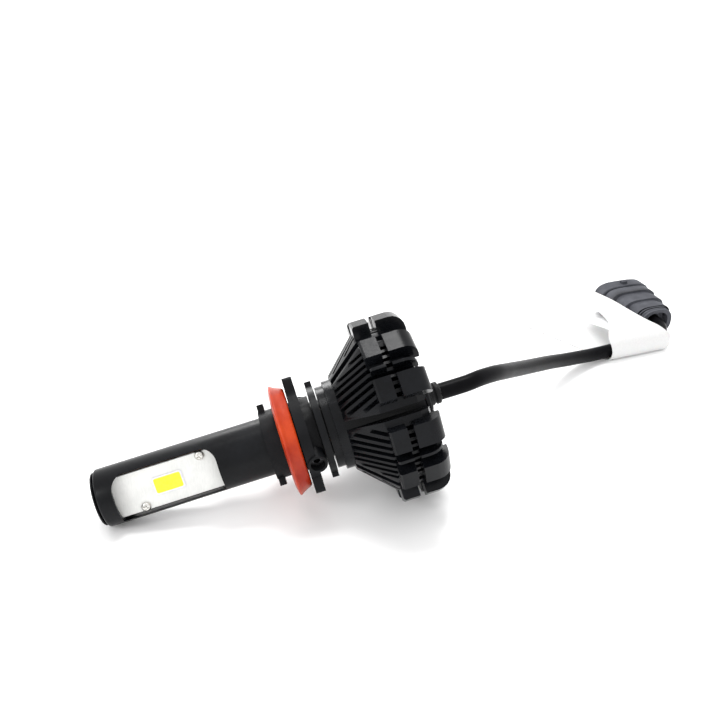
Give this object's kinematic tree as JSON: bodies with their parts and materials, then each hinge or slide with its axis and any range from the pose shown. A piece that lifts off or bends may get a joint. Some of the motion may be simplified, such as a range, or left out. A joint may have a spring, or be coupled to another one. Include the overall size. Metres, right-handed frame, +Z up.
{
  "type": "headlight bulb",
  "caption": "LED headlight bulb: a post with two light faces on a round bayonet base with an orange seal, a finned heat sink behind it, and a short lead with a label and a plug.",
  "frame": {"origin": "on the table under the middle of the lamp, measured without its lead and plug", "axes": "+Z up from the table; +X along the lamp from its tip to its heat sink, as seen from above; the lamp's own axis rises 12.9 degrees towards +X, because the lamp lies on its tip and on the rim of its heat sink"},
  "size_m": [0.2042, 0.1187, 0.0505],
  "materials": {
    "black_anodised": "black anodised aluminium, satin",
    "black_plastic": "satin moulded plastic",
    "black_rubber": "smooth cable jacket and gland",
    "plug_rubber": "dark grey matte rubber",
    "orange_silicone": "satin silicone",
    "board_white": "white coated aluminium board",
    "board_green": "circuit board",
    "led_yellow": "phosphor gel",
    "nickel": "nickel plated",
    "dark_steel": "blackened steel",
    "copper": "bare copper",
    "tinned_brass": "tinned",
    "wire_red": "insulation",
    "wire_black": "insulation",
    "label_white": "blank coated paper"
  },
  "bodies": {
    "lamp": {"lamp_sleeve": "black_anodised", "nose_cap": "black_anodised", "thermal_core": "copper", "led_board_front": "board_white", "led_board_back": "board_white", "led_chip_front": "led_yellow", "led_chip_back": "led_yellow", "board_screw_front_1": "nickel", "board_screw_front_2": "nickel", "board_screw_back_1": "nickel", "board_screw_back_2": "nickel", "lock_ring": "black_anodised", "heat_sink": "black_anodised", "driver_board": "board_green", "driver_coil": "copper", "driver_capacitor": "nickel", "driver_chip": "black_plastic", "rear_cover": "black_anodised", "cover_screw_1": "nickel", "cover_screw_2": "nickel", "cable_gland": "black_rubber", "lamp_wire_red": "wire_red", "lamp_wire_black": "wire_black", "feed_wire_red": "wire_red", "feed_wire_black": "wire_black", "cord": "black_rubber", "plug_boot": "plug_rubber", "plug_shell": "plug_rubber", "plug_blade_1": "tinned_brass", "plug_blade_2": "tinned_brass", "cord_label": "label_white"},
    "collar": {"base_collar": "black_plastic", "seal_ring": "orange_silicone", "set_screw_1": "dark_steel", "set_screw_2": "dark_steel"}
  },
  "joints": [
    {"name": "collar_swivel", "type": "hinge", "parent": "lamp", "child": "collar", "pos_m": [0.00815, 0, 0.0194], "axis": [0.9748, 0, 0.2231], "continuous": true}
  ]
}
